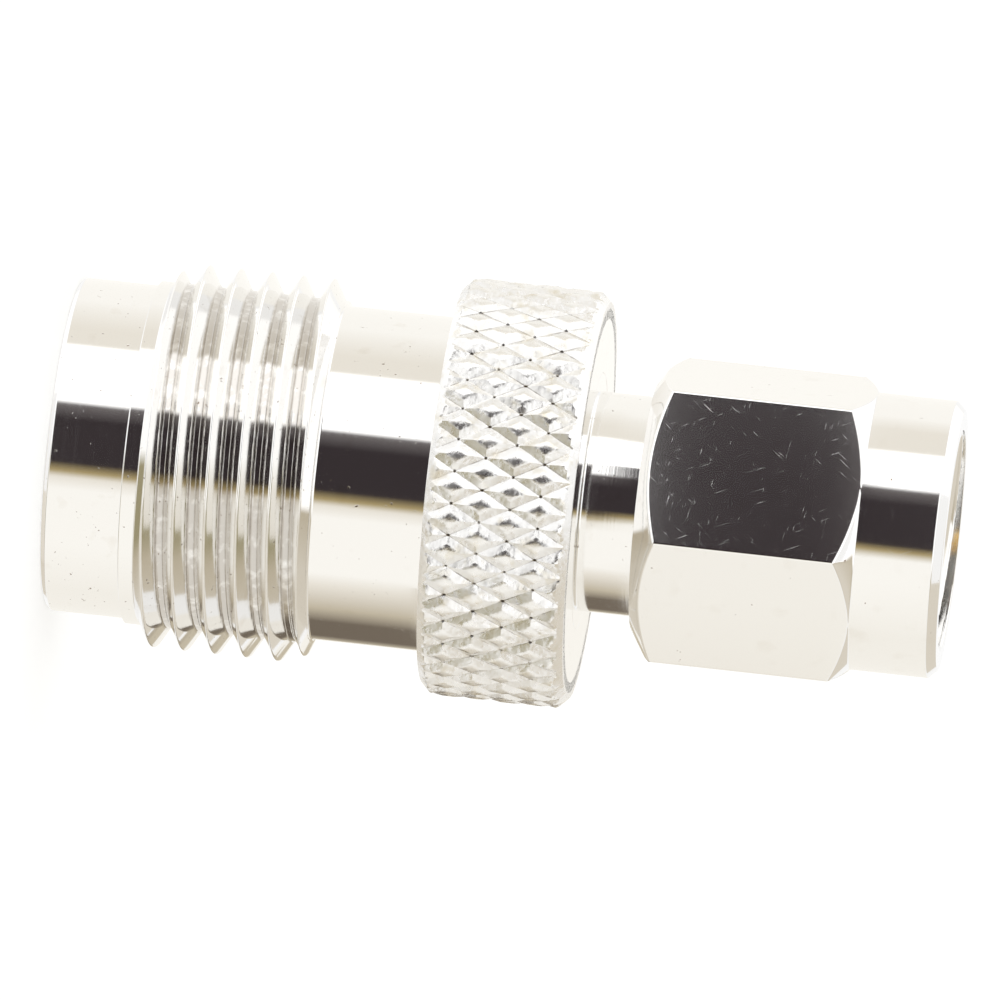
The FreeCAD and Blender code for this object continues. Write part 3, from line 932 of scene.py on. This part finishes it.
def nut_section(offset):
    """Outline of the nut, with the same number of points at every angle."""
    radius = hex_radius(offset)
    back = NUT_BACK + BACK_CONE * (radius - BACK_LAND) / (NUT_CORNER - BACK_LAND)
    front = HEX_TOP - FRONT_CONE * (radius - NUT_FLAT) / (NUT_CORNER - NUT_FLAT)
    back_way = Vector((NUT_CORNER - BACK_LAND, BACK_CONE)).normalized()
    front_way = Vector((NUT_FLAT - NUT_CORNER, FRONT_CONE)).normalized()

    # An edge is broken by three points, at its ends and between them. In the middle of a flat the
    # front cone has no width left, so its edge shrinks to a point.
    front_edge = EDGE * min(1.0, (radius - NUT_FLAT) / FULL_EDGE)
    return [
        Vector((BACK_LAND - EDGE, NUT_BACK)),
        Vector((BACK_LAND, NUT_BACK)) + back_way * EDGE,
        Vector((radius, back)) - back_way * EDGE_SUPPORT,
        Vector((radius, back)) - back_way * EDGE,
        Vector((radius, back)) + BACK_BREAK,
        Vector((radius, back + EDGE)),
        Vector((radius, back + EDGE_SUPPORT)),
        Vector((radius, (back + front) / 2)),
        Vector((radius, front - EDGE_SUPPORT)),
        Vector((radius, front - EDGE)),
        Vector((radius, front)) + FRONT_BREAK * front_edge,
        Vector((radius, front)) + front_way * front_edge,
        Vector((NUT_FLAT, HEX_TOP)) - front_way * 0.6 * front_edge,
        Vector((NUT_FLAT, HEX_TOP + EDGE)),
        Vector((NUT_FLAT, HEX_TOP + EDGE_SUPPORT)),
    ]


print("points on the outside of a section:", len(nut_section(0.0)))


# %% The front, the thread's bore and the groove of the nut
NUT_BORE = 3.25
RING_GROOVE = RING_RADIUS + 0.10
FRONT_EDGE = 0.25
NUT_THREAD_MINOR = 2.80
NUT_THREAD_MAJOR = SHANK_RADIUS
NUT_THREAD_PITCH = 0.7056
NUT_THREAD_START = 22.39
NUT_THREAD_END = NUT_FRONT - 0.01
MOUTH = NUT_THREAD_MAJOR + 0.045
nut_rest = rounded([
    (NUT_FLAT, HEX_TOP + 0.2, 0.0),
    (NUT_FLAT, NUT_FRONT - FRONT_EDGE, 0.04),
    (NUT_FLAT - FRONT_EDGE, NUT_FRONT, 0.04),
    (MOUTH, NUT_FRONT, 0.03),
    (NUT_THREAD_MINOR, NUT_THREAD_END, 0.0),
    (NUT_THREAD_MINOR, NUT_THREAD_START, 0.0),
    (NUT_BORE, NUT_THREAD_START, 0.04),
    (NUT_BORE, RING_FRONT + RING_GAP, 0.0),
    (RING_GROOVE, RING_FRONT + RING_GAP, 0.0),
    (RING_GROOVE, RING_BACK - RING_GAP, 0.0),
    (NUT_BORE, RING_BACK - RING_GAP, 0.0),
    (NUT_BORE, NUT_BACK, 0.05),
    (BACK_LAND - EDGE - 0.03, NUT_BACK, 0.0),
])
nut_rest = with_rows(nut_rest, NUT_THREAD_START, NUT_FRONT, NUT_THREAD_MINOR, THREAD_ROW)
print("points on the rest of a section:", len(nut_rest))

# %% Sweep the nut and cut its inside thread
HEX_ANGLE = 12.8
NEAR_CORNER = (0.35, 0.7, 1.05, 1.5, 2.2)
offsets = [-step for step in reversed(NEAR_CORNER)] + [0.0, *NEAR_CORNER]
offsets += [4.0 + 2.0 * step for step in range(27)]
outlines = []
angles = []
for side in range(6):
    corner_angle = math.radians(HEX_ANGLE + 30.0 + 60.0 * side)
    for offset in offsets:
        nearest = offset if offset <= 30.0 else offset - 60.0
        outlines.append(nut_section(math.radians(nearest)) + nut_rest)
        angles.append(corner_angle + math.radians(offset))
coupling_nut = sweep("hexagonal_coupling_nut", outlines, angles)
worked(coupling_nut, cut_thread, **{
    "Start": NUT_THREAD_START * MM, "End": NUT_THREAD_END * MM, "Pitch": NUT_THREAD_PITCH * MM,
    "Crest Radius": NUT_THREAD_MINOR * MM, "Root Radius": NUT_THREAD_MAJOR * MM,
    "First Root": (NUT_THREAD_START + 0.2) * MM, "Clear": 0.20 * MM, "Lead In": 0.25 * MM,
    "Run Out": 0.42 * MM, "Finish": milled_nickel})
dress(coupling_nut, "coupling_nut", "nut", milled_nickel)

# %% [markdown]
# ## Pieces that keep their solids
#
# The ring hides between nut and shank, and the insulator and the slotted socket sit deep in the
# jack. Their solids already have the right shape, so they only get their finishes.

# %% Give the remaining solids their finishes
kept = {"nut_retaining_ring": bronze, "tnc_insulator": ptfe, "tnc_socket_contact": gold}
for node, material in kept.items():
    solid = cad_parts[node]
    solid.data.materials.clear()
    solid.data.materials.append(material)
    print(node, "has", material.name)

# %% [markdown]
# ## The camera
#
# A long lens stands 450 mm in front, slightly above the plane of the nose, so that the faces
# towards the SMA side just show. The adapter stands on its nose here, but the photograph shows it
# lying on its side, so the camera is rolled by a quarter turn and 6.25 degrees more.

# %% Place the camera
PIXELS_PER_MM = 34.80
IMAGE_PIXELS = 1000
SENSOR = 36.0
DISTANCE = 450.0
TILT = math.radians(5.1)
ROLL = math.radians(6.25)
AIM = Vector((0.257, 0.0, 12.633))

camera_data = bpy.data.cameras.new("camera")
camera_data.sensor_width = SENSOR
camera_data.lens = PIXELS_PER_MM * DISTANCE * SENSOR / IMAGE_PIXELS
camera = bpy.data.objects.new("camera", camera_data)
bpy.context.scene.collection.objects.link(camera)
back = Vector((0.0, -math.cos(TILT), math.sin(TILT)))
along = Vector((0.0, math.sin(TILT), math.cos(TILT)))
aside = Vector((-1.0, 0.0, 0.0))
right = along * math.cos(ROLL) + aside * math.sin(ROLL)
up = aside * math.cos(ROLL) - along * math.sin(ROLL)
camera.matrix_world = Matrix.Translation((AIM + back * DISTANCE) * MM) @ Matrix((
    (right.x, up.x, back.x, 0.0),
    (right.y, up.y, back.y, 0.0),
    (right.z, up.z, back.z, 0.0),
    (0.0, 0.0, 0.0, 1.0)))
bpy.context.scene.camera = camera
print(f"lens {camera_data.lens:.1f} mm")

# %% [markdown]
# ## The studio
#
# Bright nickel is lit by what it reflects. Round the object stand curved cards, placed by their angle from
# the camera: a dark one round the lens, a white soft box above it, and cream cards below. Small cards near
# the object hold a painted shadow, dark tones that stand in for the shade right under the object, and the
# undersides of neck, shank and collar mirror it. Walls and ground further out, towards the jack and the
# plug, are what the flanks of the thread and the facets of the knurl mirror. All are set as a photographer
# would, out of the picture, so the camera doesn't see them. The room and the floor are plain white, and the
# floor keeps the shadow.
# The cards share a few plain tones. A card needs a tone only where the light on it changes, and
# it is blended in between.


# %% Lit paper and cards
PAPER = 1.1
SOFT_BOX = 1.6
OPEN_SKY = 1.25
WINDOW = 1.3
WHITE = "#FFFFFF"
BRIGHT = "#FAF8F3"
CREAM = "#F2EFE8"
STONE = "#E8E3D9"
SAND = "#D6CFC2"
TAUPE = "#C0B6A2"
OCHRE = "#A8976C"
OLIVE = "#A0987A"
UMBER = "#70665A"
HOOD = "#6A6565"
LENS = "#363032"


def lit_paper():
    """Paper that shines with the colour painted on it, for mirrors only."""
    material = bpy.data.materials.new("lit_paper")
    material.use_nodes = True
    tree = material.node_tree
    tree.nodes.clear()
    paint = add(tree, "ShaderNodeVertexColor", layer_name="paint").outputs["Color"]
    glow = add(tree, "ShaderNodeEmission", {"Color": paint, "Strength": 1.0})
    add(tree, "ShaderNodeOutputMaterial", {"Surface": glow.outputs[0]})
    return material


def painted(shades, angle):
    """Colour of a card at an angle, blended between the two shades on either side of it."""
    for (low, first, one), (high, second, two) in zip(shades, shades[1:]):
        if low <= angle <= high:
            share = (angle - low) / (high - low)
            pairs = zip(linear(first)[:3], linear(second)[:3])
            return [a * one * (1 - share) + b * two * share for a, b in pairs]
    raise ValueError("no shade at this angle")


def card(name, heights, distance, shades):
    """Stand a curved card round the axis, painted by the angle from the camera, upwards positive."""
    shades = [(*shade, PAPER)[:3] for shade in shades]
    between = {angle for angle in range(-180, 181, 4) if shades[0][0] < angle < shades[-1][0]}
    places = sorted(between | {shade[0] for shade in shades})
    points = []
    for angle in places:
        way = Vector((-math.sin(math.radians(angle)), -math.cos(math.radians(angle)), 0.0)) * distance
        points += [(way + Vector((0.0, 0.0, height))) * MM for height in heights]
    quads = [(2 * step, 2 * step + 1, 2 * step + 3, 2 * step + 2) for step in range(len(places) - 1)]
    mesh = bpy.data.meshes.new(name)
    mesh.from_pydata(points, [], quads)
    paint = mesh.color_attributes.new("paint", "FLOAT_COLOR", "POINT")
    for index, angle in enumerate(places):
        colour = (*painted(shades, angle), 1.0)
        paint.data[2 * index].color = colour
        paint.data[2 * index + 1].color = colour
    mesh.materials.append(paper)
    piece = bpy.data.objects.new(name, mesh)
    bpy.context.scene.collection.objects.link(piece)
    piece.visible_camera = False
    piece.visible_diffuse = False
    piece.visible_shadow = False


paper = lit_paper()
print("made", paper.name)

# %% Set up the cards round the object
# From below, over the lens, to the top: cream paper, the dark lens and its hood, the white soft
# box, a stone card, and bright paper behind. Body, hexagon and front have a card each, with edges a
# few degrees apart, so that each band of light ends where it does on the real one.
CARD_DISTANCE = 60.0
card("card_beside_body", (-9.5, 11.4), CARD_DISTANCE, [
    (-180, CREAM), (-115, CREAM), (-70, BRIGHT), (-30, BRIGHT), (-22, STONE), (-18, OCHRE), (-12, LENS),
    (16, LENS), (26, HOOD), (29, WHITE, SOFT_BOX), (68, WHITE, SOFT_BOX), (71, STONE), (85, STONE),
    (115, BRIGHT), (180, BRIGHT)])
card("card_beside_hexagon", (11.4, 19.4), CARD_DISTANCE, [
    (-180, CREAM), (-120, CREAM), (-88, STONE), (-83, CREAM), (-60, BRIGHT), (-20, BRIGHT), (-13, OCHRE),
    (-8, LENS), (38, LENS), (39, WHITE, SOFT_BOX), (66, WHITE, SOFT_BOX), (69, STONE), (95, CREAM),
    (105, BRIGHT), (180, BRIGHT)])
card("card_beside_front", (19.4, 26.0), CARD_DISTANCE, [
    (-180, CREAM), (-93, CREAM), (-40, BRIGHT), (-20, BRIGHT), (-14, OCHRE), (-9, LENS),
    (24, LENS), (35, HOOD), (38, WHITE, SOFT_BOX), (68, WHITE, SOFT_BOX), (71, STONE), (93, STONE),
    (110, BRIGHT), (180, BRIGHT)])
print("three cards round the object")

# %% Set up the small cards and the walls
SMALL_CARD_DISTANCE = 30.0
WALL_DISTANCE = 140.0
# Painted shadow: these tones go down to umber where the undersides of neck and shank mirror the shade right
# under the object.
painted_contact_shadow = [
    (-158, TAUPE), (-143, UMBER), (-116, UMBER), (-100, TAUPE), (-88, SAND), (-78, STONE), (-68, BRIGHT)]
card("card_under_neck", (4.0, 8.4), SMALL_CARD_DISTANCE, painted_contact_shadow)
card("card_under_shank", (12.6, 14.5), SMALL_CARD_DISTANCE, painted_contact_shadow)
# Painted shadow under the collar as well, in lighter tones.
card("card_under_collar", (8.4, 12.6), SMALL_CARD_DISTANCE, [
    (-170, TAUPE), (-140, TAUPE), (-115, SAND), (-72, SAND)])
card("ground_towards_jack", (-420.0, -130.0), WALL_DISTANCE, [
    (-180, SAND), (-84, STONE), (-20, CREAM), (2, WHITE, OPEN_SKY), (150, WHITE, OPEN_SKY), (180, STONE)])
card("wall_towards_jack", (-130.0, -58.0), WALL_DISTANCE, [
    (-180, SAND), (-134, SAND), (-84, TAUPE), (-66, OLIVE), (-10, OLIVE),
    (2, WHITE, OPEN_SKY), (150, WHITE, OPEN_SKY), (180, STONE)])
card("wall_towards_plug", (60.0, 420.0), WALL_DISTANCE, [
    (-180, SAND), (-84, SAND), (-36, TAUPE), (-30, WHITE, WINDOW), (150, WHITE, WINDOW), (180, STONE)])
print("small cards and walls set up")


# %% Floor, room and light
def plain_floor():
    """A pale floor that reads white in the open and keeps the object's soft shadow."""
    material = bpy.data.materials.new("plain_white_floor")
    material.use_nodes = True
    tree = material.node_tree
    tree.nodes.clear()
    matt = add(tree, "ShaderNodeBsdfDiffuse", {"Color": linear("#EDEDEB")})
    glow = add(tree, "ShaderNodeEmission", {"Color": linear("#FFFFFF"), "Strength": 0.38})
    both = add(tree, "ShaderNodeAddShader", {0: matt.outputs[0], 1: glow.outputs[0]})
    add(tree, "ShaderNodeOutputMaterial", {"Surface": both.outputs[0]})
    bm = bmesh.new()
    bmesh.ops.create_grid(bm, x_segments=1, y_segments=1, size=1.2)
    bmesh.ops.translate(bm, vec=(0, 0, -0.01 * MM), verts=bm.verts)
    mesh = bpy.data.meshes.new("floor")
    bm.to_mesh(mesh)
    bm.free()
    mesh.materials.append(material)
    floor = bpy.data.objects.new("floor", mesh)
    bpy.context.scene.collection.objects.link(floor)
    floor.visible_glossy = False


def white_room():
    """A plain room: white to the camera, mirrors and glass, and a soft fill for the rest."""
    world = bpy.data.worlds.new("white_room")
    world.use_nodes = True
    tree = world.node_tree
    tree.nodes.clear()
    path = add(tree, "ShaderNodeLightPath").outputs
    seen = Measure(tree, path["Is Camera Ray"]).through("MAXIMUM", path["Is Glossy Ray"])
    seen = seen.through("MAXIMUM", path["Is Transmission Ray"])
    level = add(tree, "ShaderNodeMapRange", {"Value": seen, "To Min": 0.85, "To Max": 1.0})
    sky = add(tree, "ShaderNodeBackground", {"Color": linear("#FFFFFF"), "Strength": level.outputs[0]})
    add(tree, "ShaderNodeOutputWorld", {"Surface": sky.outputs[0]})
    bpy.context.scene.world = world


plain_floor()
white_room()
bpy.context.scene.view_settings.view_transform = "Standard"
print("stage ready")
